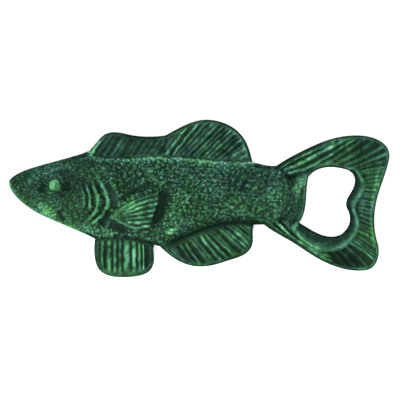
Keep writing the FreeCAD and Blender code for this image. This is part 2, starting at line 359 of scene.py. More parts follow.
def edge_rows(points, loops, free, rows):
    """Points a little inside each rounded edge."""
    out = []
    for loop in loops:
        edges = edges_of(loop)
        is_free = np.array([(min(e), max(e)) in free for e in edges])
        way = points[edges[:, 1]] - points[edges[:, 0]]
        length = np.maximum(np.hypot(*way.T), 1e-9)
        inward = np.column_stack([-way[:, 1], way[:, 0]]) / length[:, None]
        for depth in rows:
            mids = 0.5 * (points[edges[:, 0]] + points[edges[:, 1]])
            out.append(np.column_stack([(mids + depth * inward)[is_free],
                                        np.full(is_free.sum(), depth)]))
    return np.vstack(out)


outline_points, outlines = shared_outlines()
edge_uses = {}
for name in REGIONS:
    for a, b in edges_of(outlines[name]):
        key = (min(a, b), max(a, b))
        edge_uses[key] = edge_uses.get(key, []) + [name]
free_edges = {k for k, names in edge_uses.items() if len(names) == 1}
free_dense = dense(outline_points, sorted(free_edges))
seam_ids = sorted({i for k, names in edge_uses.items() if len(names) > 1 for i in k})

rows = edge_rows(outline_points, [outlines[n] for n in REGIONS], free_edges, EDGE_ROWS)
row_gap = nearest(rows[:, :2], free_dense)[0]
row_seam = nearest(rows[:, :2], outline_points[seam_ids])[0]
rows = rows[(row_gap > 0.85 * rows[:, 2]) & (row_seam > 0.4 * SPACING), :2]
grid = hexagonal(LOW[:2] - 1, HIGH[:2] + 1, SPACING)
grid = grid[nearest(grid, outline_points)[0] > 0.6 * SPACING]
grid = grid[nearest(grid, free_dense)[0] > EDGE_ROWS[-1] + 0.5 * SPACING]
plan, triangles, owner = triangulated(
    outline_points, [list(map(int, outlines[n])) for n in REGIONS], np.vstack([rows, grid]))


def seam(first, second):
    """Dense points along the seams between two groups of regions."""
    pairs = [k for k, names in edge_uses.items()
             if len(names) == 2 and any(n in first for n in names) and any(n in second for n in names)]
    return dense(outline_points, pairs)


FREE = nearest(plan, free_dense)[0]
BODY_EDGE = nearest(plan, seam(BODY, FINS))[0]
ROOT_EDGE = nearest(plan, seam(("tail_root",), TAIL + RIM))[0]
RIM_EDGE = nearest(plan, seam(("opening_rim", "lifting_lug"), TAIL))[0]
opening = [k for k, names in edge_uses.items()
           if len(names) == 1 and (names[0] in RIM or names[0] == "tail_upper_lobe")
           and OPENING_BOX[0] < outline_points[k[0]][0] < OPENING_BOX[1]
           and abs(outline_points[k[0]][1]) < OPENING_BOX[2]]
OPENING = nearest(plan, dense(outline_points, opening))[0]
outer = dense(outline_points, sorted(free_edges - set(opening)))
OUTER = nearest(plan, outer)[0]


# ------------------------------------------------------------------ the relief

def points_of(names):
    numbers = [i for i, n in enumerate(REGIONS) if n in names]
    return np.unique(triangles[np.isin(owner, numbers)])


body_points = plan[points_of(BODY)]
stations = np.linspace(LOW[0], body_points[:, 0].max(), 160)


def body_side(sign):
    """Upper (+1) or lower (-1) edge of the body along X, evened out."""
    edge = []
    for x in stations:
        near = body_points[np.abs(body_points[:, 0] - x) < 0.8]
        edge.append((sign * near[:, 1]).max() * sign if len(near) else 0.0)
    edge = np.array(edge)
    padded = np.concatenate([edge[:4][::-1], edge, edge[-4:][::-1]])
    return np.convolve(padded, np.ones(9) / 9, mode="valid")


body_top = body_side(1)
body_low = body_side(-1)
body_free = dense(outline_points, [k for k in sorted(free_edges) if edge_uses[k][0] in BODY])
above = body_free[:, 1] > 0.5 * (np.interp(body_free[:, 0], stations, body_top)
                                 + np.interp(body_free[:, 0], stations, body_low))
BACK_EDGE = nearest(plan, body_free[above])[0]
BELLY_EDGE = nearest(plan, body_free[~above])[0]


def body_height(p):
    """Domed body without its scales."""
    x, y = p.T
    share = (x - LOW[0]) / (HIGH[0] - LOW[0])
    full = BODY_T * np.interp(share, *np.array(SWELL).T)
    top = np.interp(x, stations, body_top)
    low = np.interp(x, stations, body_low)
    t = np.abs(2 * y - top - low) / (top - low + 1.0)
    rise = np.clip(1 - t ** 3.2, 0, 1) ** 0.8
    return BODY_EDGE_T + (full - BODY_EDGE_T) * rise


def rolled(height, gap, radius, floor=EDGE_T):
    """Rolls a surface over towards an edge."""
    t = np.clip(gap / radius, 0, 1)
    return floor + (height - floor) * np.sqrt(np.clip(1 - (1 - t) ** 2, 0, 1))


def warped(p, size, pitch, seed):
    """Points moved about a little by smooth noise."""
    return p + size * np.column_stack([lattice_noise(p, pitch, seed),
                                       lattice_noise(p, pitch, seed + 1)])


def blobs(p, pitch, seed):
    """Irregular raised scales: 0 between them to 1 on top."""
    cells = (SCALE_CELLS, SCALE_CELLS)
    rng = np.random.default_rng(seed)
    shift = rng.uniform(-0.42, 0.42, cells + (2,))
    size = rng.uniform(0.44, 0.76, cells)
    angle = rng.uniform(0, math.pi, cells)
    luck = rng.uniform(0, 1, cells)
    q = warped(p, 0.3 * pitch, 0.8 * pitch, seed + 1)
    u = np.column_stack([q[:, 0] / pitch, q[:, 1] / (pitch * 0.87)]) + SCALE_CELLS / 2
    row = np.floor(u[:, 1]).astype(int)
    best = np.zeros(len(p))
    for dj in (-1, 0, 1):
        j = row + dj
        offset = 0.5 * (j % 2)
        column = np.floor(u[:, 0] - offset).astype(int)
        for di in (-1, 0, 1):
            i = column + di
            cell = (i % SCALE_CELLS, j % SCALE_CELLS)
            dx = u[:, 0] - (i + 0.5 + offset + shift[cell][:, 0])
            dy = u[:, 1] - (j + 0.5 + shift[cell][:, 1])
            c, s = np.cos(angle[cell]), np.sin(angle[cell])
            across = 1.35 * (s * dx - c * dy)
            gap = np.hypot(c * dx + s * dy, across) / size[cell]
            dome = np.clip(1 - gap ** 2, 0, 1) ** 0.7 * (0.45 + 0.55 * luck[cell])
            best = np.maximum(best, dome)
    return best


EYE_LOW, EYE_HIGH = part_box("front_eye")
EYE = np.array([0.5 * (EYE_LOW.x + EYE_HIGH.x), 0.5 * (EYE_LOW.y + EYE_HIGH.y)]) / MM
EYE_R = 0.5 * (EYE_HIGH.x - EYE_LOW.x) / MM
FIN_LOW, FIN_HIGH = (np.array(c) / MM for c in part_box("front_pectoral_fin"))

# Modelling strokes on the body: (path, width, height, paint), heights in mm and paint from the
# bare dark coat (-1) to heavily brushed (1). Some strokes' paint is painted shade and painted shadow,
# as marked.
GILL_RIDGES = (
    (((-43.8, 9.2), (-40.8, 4.4), (-39.0, -1.4), (-41.0, -6.6), (-44.8, -9.9), (-48.2, -12.0)),
     0.95, 0.75, 0.3),
    (((-46.2, 7.8), (-44.5, 3.0), (-43.4, -1.8), (-45.6, -6.6), (-49.4, -10.8)), 0.85, 0.65, 0.34),
    (((-48.8, 6.4), (-47.2, 1.4), (-46.9, -2.2), (-47.6, -5.0)), 0.65, 0.45, 0.2),
    (((-51.4, 6.4), (-49.6, 1.6), (-49.4, -1.6), (-50.2, -4.6)), 0.55, 0.3, 0.1),
)
BODY_STROKES = (
    # grooves between the gill ridges
    (((-45.1, 8.2), (-42.9, 3.6), (-41.3, -0.6), (-41.7, -3.8), (-43.8, -7.2), (-47.4, -10.6)),
     0.62, -0.35, -0.5),
    (((-47.6, 7.0), (-45.8, 1.8), (-45.2, -2.0), (-45.9, -4.8), (-48.0, -7.8)), 0.6, -0.3, -0.4),
    (((-50.2, 6.6), (-48.4, 1.4), (-48.2, -2.2), (-49.0, -5.2)), 0.6, -0.25, -0.35),
    (((-52.6, 5.2), (-51.4, 1.2), (-51.4, -2.0)), 0.5, -0.12, -0.2),
    # hollow behind the gill cover, down to the belly
    (((-40.8, 7.4), (-37.6, 2.6), (-36.9, -2.0), (-37.6, -5.0)), 1.5, -0.5, -0.3),
    (((-38.6, -4.6), (-40.6, -8.6), (-42.8, -11.6)), 1.7, -0.9, -0.75),
    (((-39.6, -11.2), (-36.0, -11.8), (-32.6, -13.6), (-31.6, -15.8)), 1.8, -0.4, -0.75),
    # hollow behind the pectoral fin, darkened with painted shadow of the fin
    (((-14.6, 5.4), (-15.9, -1.0), (-17.6, -6.0), (-20.2, -12.2)), 1.7, -0.75, -0.75),
    (((-12.4, 5.0), (-13.8, -1.0), (-15.6, -6.0), (-18.6, -11.2)), 2.1, -0.25, -0.45),
    # smooth dip above the pectoral fin, darkened with painted shade
    (((-34.4, -1.8), (-29.6, 2.6), (-23.0, 5.4), (-17.6, 6.6)), 1.3, -0.4, -0.35),
    (((-36.6, 5.0), (-31.0, 6.4), (-24.0, 8.4)), 3.6, -0.25, -0.22),
    # bump on the belly, throat and chin
    (((-12.2, -12.6), (-12.0, -15.6)), 2.3, 0.45, 0.95),
    (((-51.5, -11.6), (-48.0, -13.0), (-45.0, -14.6)), 1.7, 0.1, 0.4),
    (((-40.8, -14.6), (-38.0, -15.6)), 1.3, 0.2, 0.3),
    (((-70.4, -2.4), (-65.6, -5.4), (-61.2, -8.4)), 2.5, 0.25, 0.62),
    # corner of the mouth
    (((-60.8, -4.6), (-59.8, -7.2), (-58.4, -10.2)), 1.3, -0.5, -0.6),
    (((-78.6, -0.6), (-72.0, -3.2), (-66.4, -6.0)), 0.5, -0.12, -0.25),
    # sockets before and behind the eye, darkened with painted shade beside the eye's dome
    (((-67.0, 6.6), (-67.6, 2.6)), 1.5, -0.5, -0.55),
    (((-57.2, 7.6), (-56.8, 3.0)), 1.7, -0.6, -0.7),
    (((-60.5, 2.4), (-57.6, 0.6)), 1.0, -0.2, -0.35),
    # ridge along the forehead
    (((-68.0, 11.4), (-62.0, 12.9), (-54.0, 14.4)), 1.1, 0.15, 0.35),
    # crease where the wrist of the tail starts
    (((20.8, 8.6), (18.8, 5.4), (17.2, 2.6)), 0.6, -0.3, -0.9),
)


def strokes(p, table):
    """Height and paint of a table of modelling strokes."""
    height = np.zeros(len(p))
    paint = np.zeros(len(p))
    q = warped(p, 0.2, 1.8, SEED + 90)
    for points, width, up, tone in table:
        gap, along = to_path(q, spline(points))
        ends = 0.2 + 0.8 * smooth(np.minimum(along, 1 - along), 0.0, 0.18)
        height += up * ends * np.exp(-(gap / width) ** 2.4)
        paint += tone * ends * bell(gap, width)
    return height, paint


def body_relief(p, gaps):
    """Height of the body with all its modelling, and its paint."""
    x, y = p.T
    h = body_height(p)
    up, paint = strokes(p, BODY_STROKES)
    ridge_up, ridge_paint = strokes(p, GILL_RIDGES)
    coarse = blobs(p, SCALE_PITCH, SEED)
    fine = blobs(p, 0.72 * SCALE_PITCH, SEED + 20)
    on_head = smooth(-x, 45.0, 53.0)
    skin = (0.78 * coarse + 0.3 * fine) * (1 - on_head) + 0.95 * fine * on_head
    bare = smooth(-up, 0.1, 0.7)
    calm = (1 - bare) * (1 - 0.75 * smooth(ridge_up, 0.1, 0.4))
    h += up + ridge_up + SCALE_UP * calm * (1 - 0.35 * on_head) * (skin - 0.35)
    h -= 0.3 * bell(np.hypot(x - EYE[0], y - EYE[1]) - EYE_R, 0.6)
    on_wrist = smooth(x, 14.0, 24.0)
    contrast = 1.05 * calm * (1 - 0.3 * on_head - 0.25 * on_wrist)
    paint += ridge_paint + contrast * (skin - 0.4) - 0.12 - 0.14 * on_head
    snout = smooth(-x, 66.0, 78.0)
    brow = 4.4 - 2.2 * smooth(x, -66.0, -54.0)
    under = 2.0 + 0.6 * smooth(x, -30.0, -10.0)
    slope = np.clip(gaps["back"] / brow, 0, 1)
    rounding = smooth(gaps["back"], 0, 0.35)
    rise = 0.25 * np.sqrt(slope) + 0.75 * (0.22 + 0.78 * slope) * rounding
    h = EDGE_T + (h - EDGE_T) * rise
    paint += (0.34 + 0.24 * on_head - 0.55 * snout) * (1 - smooth(gaps["back"], 0.7 * brow, 1.2 * brow))
    # Painted highlight along the lower edge of the head, where the low light catches the jaw.
    paint += 1.1 * on_head * bell(gaps["belly"] - 0.5, 0.8)
    h = rolled(h, gaps["belly"], under)
    h = rolled(h, gaps["body"], 1.9, BODY_EDGE_T - 0.1)
    ledge = 0.8 * bell(gaps["body"] - 0.8, 1.0)
    under_anal = smooth(x, -17.0, -10.0)
    shade = -0.35 * bell(gaps["body"], 1.2) - 0.75 * under_anal * bell(gaps["body"], 2.6)
    paint += np.where(y > 0, ledge, shade)
    return h, paint


def fan(base, first, last, count, a0, a1, length, bend=0.0):
    """Ray centrelines: each starts on a base polyline and curves a little."""
    rng = np.random.default_rng(SEED + count)
    steps = np.hypot(*np.diff(base, axis=0).T)
    start = np.concatenate([[0], np.cumsum(steps)]) / steps.sum()
    rays = []
    for i in range(count):
        t = i / (count - 1.0)
        at = first + (last - first) * t + rng.uniform(-0.25, 0.25) / count
        origin = np.array([np.interp(at, start, base[:, k]) for k in (0, 1)])
        turn = math.radians(a0 + (a1 - a0) * t + rng.uniform(-2, 2))
        turn = turn + math.radians(bend) * np.linspace(0, 1, 9)
        stride = np.column_stack([np.cos(turn), np.sin(turn)]) * length / 8
        rays.append(origin + np.cumsum(stride, axis=0) - stride[0])
    return rays


def ray_relief(p, rays, widths, strengths):
    """0 between the rays to 1 on their crests, and how much paint they took."""
    q = warped(p, 0.22, 2.4, SEED + 30)
    crest = np.zeros(len(p))
    paint = np.zeros(len(p))
    for i, (ray, width, strength) in enumerate(zip(rays, widths, strengths)):
        gap, along = to_path(q, ray)
        near = np.exp(-(gap / width) ** 3) * smooth(along, -0.06, 0.04)
        worn = 0.8 + 0.6 * lattice_noise(p, 1.9, SEED + 31 + i)
        crest = np.maximum(crest, near * (0.6 + 0.4 * strength))
        paint = np.maximum(paint, near * strength * worn)
    return crest, paint


def table_relief(p, table):
    """Relief of rays given as rows of path, width and paint."""
    paths, widths, strengths = zip(*table)
    return ray_relief(p, [spline(path) for path in paths], widths, strengths)


def base_line(fin):
    """Seam between a fin and the body, from head to tail."""
    ids = sorted({i for k, names in edge_uses.items()
                  if fin in names and len(names) == 2 and "trunk" in names for i in k},
                 key=lambda i: outline_points[i][0])
    return outline_points[ids]


# Rays of each fin: first and last share along its base, count, first and last angle, length, bend,
# width, least and most paint.
FIN_RAYS = {
    "spiny_dorsal_fin": (0.05, 0.95, 12, 62, 56, 14, -6, 0.95, 0.12, 0.42),
    "soft_dorsal_fin": (-0.04, 0.99, 19, 56, 30, 26, -5, 0.74, 0.28, 0.62),
    "anal_fin": (-0.02, 0.97, 20, -62, -32, 24, 2, 0.78, 0.28, 0.58),
}
FIN_STROKES = {
    "spiny_dorsal_fin": (
        (((-46.6, 19.0), (-44.8, 22.6), (-42.2, 25.8)), 0.9, 0.4, 1.1),
        (((-36.0, 26.6), (-26.0, 25.4), (-16.0, 24.8)), 1.2, 0.0, -0.2),
    ),
    "soft_dorsal_fin": (
        (((-13.8, 18.8), (-13.4, 23.4), (-9.2, 27.9), (-4.0, 30.4)), 1.0, 0.3, 0.4),
        (((12.0, 31.0), (16.6, 27.6), (19.4, 22.6), (20.8, 18.6)), 0.9, 0.1, 0.4),
        (((-6.0, 24.4), (2.0, 27.4), (8.0, 29.6)), 2.2, 0.0, -0.12),
    ),
    "pelvic_fin": (
        # painted shade down the right flank of the pelvic fin
        (((-22.6, -20.4), (-22.0, -25.4), (-23.6, -29.8)), 1.3, 0.0, -0.45),
    ),
    "anal_fin": (
        (((8.6, -14.0), (12.6, -15.6), (15.0, -18.0)), 1.3, 0.25, 0.45),
        (((14.6, -13.8), (18.2, -16.2), (21.0, -20.0)), 1.6, 0.25, 0.5),
        (((-9.0, -23.6), (0.0, -26.8), (8.0, -26.0)), 1.6, 0.0, -0.15),
    ),
}
# Stout rays of the pelvic fin: X, width, paint.
PELVIC_RAYS = ((-41.7, 0.8, 0.55), (-38.9, 1.05, 0.68), (-36.4, 0.95, 0.6), (-34.1, 0.85, 0.42),
               (-31.3, 1.4, 0.72), (-28.2, 1.15, 0.82), (-25.8, 0.75, 0.75), (-24.2, 0.5, 0.8))


def pelvic_rays():
    """Centrelines of the pelvic fin's rays, nearly upright and a little barrelled."""
    rays = []
    for x, _, _ in PELVIC_RAYS:
        lean = 0.05 * (x + 33.0)
        rays.append(spline(((x - 0.4 * lean, -16.0), (x, -22.0), (x + 0.3 * lean, -28.0),
                            (x - 0.6 * lean, -34.0))))
    return rays


def fin_relief(name, p, gaps):
    """Web of a fin, its rays and its rolled outer edge."""
    if name == "pelvic_fin":
        rays = pelvic_rays()
        widths = [r[1] for r in PELVIC_RAYS]
        strengths = [r[2] for r in PELVIC_RAYS]
        border = smooth(gaps["outer"], 1.3, 2.8) * (0.3 + 0.7 * smooth(p[:, 1], -33.5, -28.5))
        depth = 0.85
    else:
        first, last, count, a0, a1, length, bend, width, least, most = FIN_RAYS[name]
        rays = fan(base_line(name), first, last, count, a0, a1, length, bend)
        rng = np.random.default_rng(SEED + count + 1)
        widths = width * rng.uniform(0.85, 1.15, count)
        strengths = rng.uniform(least, most, count)
        border = smooth(gaps["outer"], 0.9, 2.0)
        depth = 0.7
    crest, paint = ray_relief(p, rays, widths, strengths)
    up, tone = strokes(p, FIN_STROKES[name])
    if name == "anal_fin":
        bare = 3.2 - 2.0 * smooth(p[:, 0], 6.0, 12.0)
    else:
        bare = 1.4
    out_of_root = smooth(gaps["body"], 0.3 * bare, bare)
    h = FIN_T + 0.3 * np.exp(-gaps["body"] / 5.0)
    h += up + depth * (crest - 0.45) * border * out_of_root
    mottle = blobs(p, 1.0, SEED + 35)
    paint = (1.3 * paint - 0.5) * border * out_of_root + tone + 0.25 * (mottle - 0.4)
    paint -= 0.16 * (1 - border) + np.where(p[:, 1] > 0, 0.1, 0.35) * bell(gaps["body"], 1.0)
    if name == "anal_fin":
        paint -= 0.4 * (1 - out_of_root)
    radius = 3.0 if name == "pelvic_fin" else 1.6
    return rolled(h, gaps["outer"], radius), paint


# Rays of the tail: (path, width, paint).
LOBE_RAYS = (
    (((34.6, 13.0), (44.6, 18.4), (50.4, 21.1), (58.0, 24.2)), 0.6, 0.62),
    (((35.4, 11.6), (46.0, 16.4), (55.6, 21.6), (60.0, 23.9), (65.0, 26.2)), 0.95, 0.9),
    (((37.0, 10.4), (47.0, 13.4), (54.6, 17.4), (62.4, 22.5), (69.0, 26.4)), 0.75, 0.6),
    (((50.0, 13.4), (57.9, 16.6), (64.6, 21.2), (71.6, 26.2)), 1.0, 0.42),
    (((57.0, 14.2), (64.0, 17.4), (70.6, 21.4), (76.4, 25.4)), 1.0, 0.38),
    (((62.6, 14.2), (69.6, 17.0), (75.4, 20.0), (80.4, 23.4)), 0.95, 0.35),
    (((66.6, 13.8), (72.4, 15.8), (77.6, 17.8), (82.0, 20.0)), 0.8, 0.42),
    (((30.0, -10.6), (34.6, -14.2), (39.8, -17.6), (48.4, -22.8), (57.0, -27.0)), 0.9, 0.72),
    (((32.0, -8.6), (36.8, -13.4), (41.6, -17.4), (49.0, -22.2), (57.0, -25.2)), 0.8, 0.74),
    (((57.0, -22.6), (60.6, -25.4), (64.0, -29.6)), 0.7, 0.2),
    (((60.4, -22.0), (65.0, -26.2), (68.4, -30.6)), 0.7, 0.2),
    (((63.4, -20.8), (68.6, -24.8), (72.6, -29.4)), 0.6, 0.26),
    (((65.4, -19.2), (71.6, -22.8), (77.0, -27.6)), 0.6, 0.55),
)
WEB_BASE = ((69.0, 13.4), (71.8, 8.0), (71.4, 2.0), (69.6, -4.0), (69.4, -10.0), (66.6, -18.4))
TAIL_STROKES = (
    (((47.0, 11.2), (44.6, 7.8), (42.8, 4.4), (42.4, 0.6)), 1.9, 0.4, 0.6),
    (((37.0, 9.2), (40.4, 9.4), (42.6, 10.6)), 1.0, -0.3, -0.6),
    (((55.0, 14.6), (61.0, 15.2)), 0.7, 0.1, 0.3),
    (((60.0, 17.4), (66.0, 21.4), (71.0, 22.8)), 3.2, -0.1, -0.22),
    (((55.0, -24.6), (62.0, -26.4), (70.0, -26.8)), 3.2, -0.15, -0.8),
    (((36.4, -8.8), (40.4, -14.2), (46.0, -19.0), (53.0, -21.8)), 1.3, 0.15, 0.45),
    (((34.4, -8.8), (38.8, -14.0), (43.6, -18.0), (50.0, -21.6)), 0.45, -0.35, -0.6),
    (((30.8, -9.4), (35.6, -13.8), (40.6, -17.6), (48.6, -22.6)), 0.4, -0.25, -0.5),
    (((79.4, 18.6), (77.4, 11.0), (75.4, 2.0), (74.3, -8.0), (75.4, -19.0), (75.2, -26.0)),
     0.7, 0.1, 0.35),
)


def tail_relief(p, gaps):
    """Tail web, its rays and the crest round the opening, running on from the body."""
    x, y = p.T
    crest, shine = table_relief(p, LOBE_RAYS)
    web_rays = fan(spline(WEB_BASE), 0.0, 1.0, 21, 14, -36, 12, 0)
    rng = np.random.default_rng(SEED)
    fine_crest, fine_shine = ray_relief(p, web_rays, rng.uniform(0.42, 0.62, len(web_rays)),
                                        rng.uniform(0.2, 0.6, len(web_rays)))
    in_web = smooth(x, 66.0, 70.0) * smooth(-y, -15.0, -11.0) * smooth(y, -21.0, -17.0)
    up, tone = strokes(p, TAIL_STROKES)
    border = smooth(gaps["outer"], 0.8, 1.7)
    off_crest = smooth(gaps["rim"], 1.0, 2.0)
    off_root = smooth(gaps["root"], 0.2, 1.2)
    inside = border * off_crest * off_root * smooth(gaps["opening"], 0.6, 1.6)
    web = TAIL_T - 0.3 * smooth(x, 45.0, 80.0)
    web = web + (body_height(p) - web) * (1 - smooth(gaps["root"], 0.0, 6.0))
    h = web + (0.6 * (crest - 0.4) * (1 - in_web) + 0.4 * (fine_crest - 0.4)) * inside + up
    h += (CREST_T - web) * bell(gaps["rim"], 1.3) * smooth(gaps["root"], 0.0, 3.0)
    rayed = np.maximum(1.25 * shine, 0.85 * fine_shine) - 0.45 + 0.3 * in_web
    paint = rayed * inside + tone - 0.3 * (1 - border)
    paint += 0.55 * bell(gaps["outer"] - 0.8, 0.55) * smooth(x, 48.0, 58.0)
    paint += 0.4 * bell(gaps["rim"] - 0.2, 1.0) * (0.8 + 0.9 * lattice_noise(p, 1.6, SEED + 41))
    skin = blobs(p, 1.3, SEED + 40)
    lip = smooth(x, 38.0, 41.0) * smooth(-x, -47.5, -45.5) * smooth(-np.abs(y), -10.0, -8.0)
    cover = np.maximum(1 - smooth(gaps["root"], 2.0, 7.0), 0.7 * lip)
    h += 0.2 * cover * (skin - 0.35)
    paint += 0.7 * cover * (skin - 0.4)
    mottle = blobs(p, 1.0, SEED + 42)
    return h, paint + 0.35 * lip + 0.25 * (mottle - 0.4)


def rim_relief(p, gaps):
    """Bevel that runs down from the crest to the opening."""
    share = gaps["rim"] / (gaps["rim"] + gaps["opening"] + 1e-6)
    h = CREST_T - (CREST_T - LIP_T) * share ** 1.2
    mottle = blobs(p, 0.9, SEED + 45)
    uneven = 0.8 + 0.9 * lattice_noise(p, 1.6, SEED + 41)
    return h, (0.38 * uneven * bell(gaps["rim"], 0.7) - 0.34 * smooth(share, 0.15, 0.5)
               + 0.2 * (mottle - 0.4))


def relief(name, ids):
    """Height and paint at a region's points."""
    p = plan[ids]
    gaps = {"outer": OUTER[ids], "body": BODY_EDGE[ids], "root": ROOT_EDGE[ids],
            "rim": RIM_EDGE[ids], "opening": OPENING[ids], "back": BACK_EDGE[ids],
            "belly": BELLY_EDGE[ids]}
    if name in BODY:
        h, paint = body_relief(p, gaps)
    elif name in FINS:
        h, paint = fin_relief(name, p, gaps)
    elif name in TAIL or name == "fulcrum_lip":
        h, paint = tail_relief(p, gaps)
        h = rolled(rolled(h, gaps["outer"], 1.5), gaps["opening"], 0.9)
    else:
        h, paint = rim_relief(p, gaps)
        h = rolled(h, gaps["opening"], 0.7)
    if name in BODY + TAIL + RIM:
        upper = smooth(p[:, 1], -5.0, 2.0)
        h -= (0.05 + 0.2 * upper) * bell(gaps["root"], 1.0)
        paint -= (0.05 + 0.3 * upper) * bell(gaps["root"], 1.2)
    grain = 0.03 * lattice_noise(p, 0.8, SEED + 2) + 0.02 * lattice_noise(p, 0.45, SEED + 3)
    h = h + (grain + 0.08 * lattice_noise(p, 6.0, SEED + 4)) * smooth(FREE[ids], 0.1, 1.0)
    return h, paint


heights = {}
paints = {}
members = {}
total = np.zeros(len(plan))
hits = np.zeros(len(plan))
for number, name in enumerate(REGIONS):
    ids = np.unique(triangles[owner == number])
    members[name] = ids
    heights[name], paints[name] = relief(name, ids)
    total[ids] += heights[name]
    hits[ids] += 1
surface = total / np.maximum(hits, 1)


def evened(values, rounds):
    """Values spread out over the surface by repeated averaging with the neighbours."""
    a = np.concatenate([triangles[:, 0], triangles[:, 1], triangles[:, 2]])
    b = np.concatenate([triangles[:, 1], triangles[:, 2], triangles[:, 0]])
    degree = np.bincount(a, minlength=len(plan)) + np.bincount(b, minlength=len(plan))
    out = values.copy()
    for _ in range(rounds):
        spread = np.bincount(a, out[b], len(plan)) + np.bincount(b, out[a], len(plan))
        out = 0.5 * out + 0.5 * spread / np.maximum(degree, 1)
    return out


def steepness(values):
    """Tangent of the surface's slope at each point."""
    p, q, r = (np.column_stack([plan, values])[triangles[:, k]] for k in range(3))
    normal = np.cross(q - p, r - p)
    facing = np.column_stack([np.bincount(triangles.ravel(), np.repeat(normal[:, k], 3), len(plan))
                              for k in range(3)])
    return np.hypot(facing[:, 0], facing[:, 1]) / np.maximum(facing[:, 2], 1e-9)


PROUD = surface - evened(surface, 40)
PROUD = PROUD * smooth(FREE, 0.4, 2.2) * (1 - 0.6 * bell(RIM_EDGE, 1.6))
STEEP = steepness(evened(surface, 6))


def coat(p, paint, proud, steep, worn=0.0):
    """Lightness of the paint from 0 to 1: the brush catches what stands proud, not the slopes."""
    patch = 0.07 * lattice_noise(p, 8.0, SEED + 50) + 0.07 * lattice_noise(p, 3.2, SEED + 51)
    speck = 0.09 * lattice_noise(p, 1.3, SEED + 52)
    light = 0.45 + 0.45 * paint + 0.6 * np.clip(proud, -0.4, 0.4) + patch + speck
    return np.clip(light + 0.25 * worn - 0.26 * smooth(steep, 0.35, 1.6), 0.0, 1.2)


def greenness(p):
    """0 for blue-green paint, as along the back, to 1 for grass green, as on the belly."""
    top = np.interp(p[:, 0], stations, body_top)
    down = smooth(top - p[:, 1], 0.0, 22.0)
    down = np.maximum(down, 0.55 * smooth(p[:, 0], 38.0, 44.0))
    down = down + 0.8 * bell(np.hypot(*(p - BELLY_BUMP).T), 3.5)
    down = down - 0.9 * bell(np.hypot(*(p - LOW_TIP).T), 9.0)
    return np.clip(0.2 + 0.45 * down + 0.45 * lattice_noise(p, 5.0, SEED + 60)
                   + 0.2 * lattice_noise(p, 1.9, SEED + 61), 0, 1)


# ------------------------------------------------------------------ the meshes

def mark_sharp(mesh, pairs, count):
    """Marks the edges between pairs of points, on the top and on the bottom, as sharp."""
    pairs = np.sort(np.array(pairs), axis=1)
    both = np.vstack([pairs, pairs + count])
    wanted = both[:, 0] * (3 * count) + both[:, 1]
    ends = np.empty(2 * len(mesh.edges), int)
    mesh.edges.foreach_get("vertices", ends)
    ends = np.sort(ends.reshape(-1, 2), axis=1)
    sharp = np.isin(ends[:, 0] * (3 * count) + ends[:, 1], wanted)
    layer = mesh.attributes.new("sharp_edge", "BOOLEAN", "EDGE")
    layer.data.foreach_set("value", sharp)


def closed_mesh(name, places, faces, top, bottom, values, seam_pairs=(), flash=None):
    """Closed shell between two height fields over one triangulation. Heights are from MID."""
    directed = np.vstack([faces[:, [0, 1]], faces[:, [1, 2]], faces[:, [2, 0]]])
    n = len(places)
    forward = directed[:, 0] * n + directed[:, 1]
    backward = directed[:, 1] * n + directed[:, 0]
    border = directed[~np.isin(forward, backward)]
    ring = np.unique(border)
    middle = np.full(n, -1)
    middle[ring] = np.arange(len(ring)) + 2 * n
    mid_places = places[ring]
    if flash is not None:
        mid_places = mid_places + flash[ring]
    mid_z = 0.5 * (top[ring] + bottom[ring])
    verts = np.vstack([np.column_stack([places, top]), np.column_stack([places, bottom]),
                       np.column_stack([mid_places, mid_z])])
    verts[:, 2] += MID
    a, b = border.T
    upper = np.column_stack([b, a, middle[a], middle[b]])
    lower = np.column_stack([middle[b], middle[a], a + n, b + n])
    polygons = faces.tolist() + (faces[:, ::-1] + n).tolist() + upper.tolist() + lower.tolist()
    mesh = bpy.data.meshes.new(name)
    mesh.from_pydata((verts * MM).tolist(), [], polygons)
    mesh.polygons.foreach_set("use_smooth", [True] * len(mesh.polygons))
    for key, value in values.items():
        layer = mesh.attributes.new(key, "FLOAT", "POINT")
        spread = np.concatenate([value, value, value[ring]]).astype(np.float32)
        layer.data.foreach_set("value", spread)
    if len(seam_pairs):
        mark_sharp(mesh, seam_pairs, n)
    piece = bpy.data.objects.new(name, mesh)
    bpy.context.scene.collection.objects.link(piece)
    return piece


def outward_push():
    """Offset of each outline point that raises the parting line on free edges."""
    push = np.zeros((len(plan), 2))
    for loop in outlines.values():
        for a, b in edges_of(loop):
            if (min(a, b), max(a, b)) in free_edges:
                way = outline_points[b] - outline_points[a]
                out = np.array([way[1], -way[0]]) / np.hypot(*way)
                push[a] += out
                push[b] += out
    size = np.hypot(*push.T)
    return FLASH * push / np.maximum(size, 1e-9)[:, None]


PUSH = outward_push()
seams = [k for k, names in edge_uses.items() if len(names) > 1]


def region_piece(name):
    """Closed mesh of one region of the casting, front and back."""
    number = REGIONS.index(name)
    ids = members[name]
    local = np.full(len(plan), -1)
    local[ids] = np.arange(len(ids))
    own_seams = [(local[a], local[b]) for a, b in seams if local[a] >= 0 and local[b] >= 0]
    worn = bell(FREE[ids], 0.55) * smooth(OPENING[ids], 0.6, 1.6)
    green = greenness(plan[ids])
    if name in ("opening_rim", "lifting_lug"):
        green = green * RIM_GREEN
    values = {"paint": coat(plan[ids], paints[name], PROUD[ids], STEEP[ids], worn), "green": green}
    return closed_mesh(name + "_cast", plan[ids], local[triangles[owner == number]],
                       heights[name], -heights[name], values, own_seams, PUSH[ids])


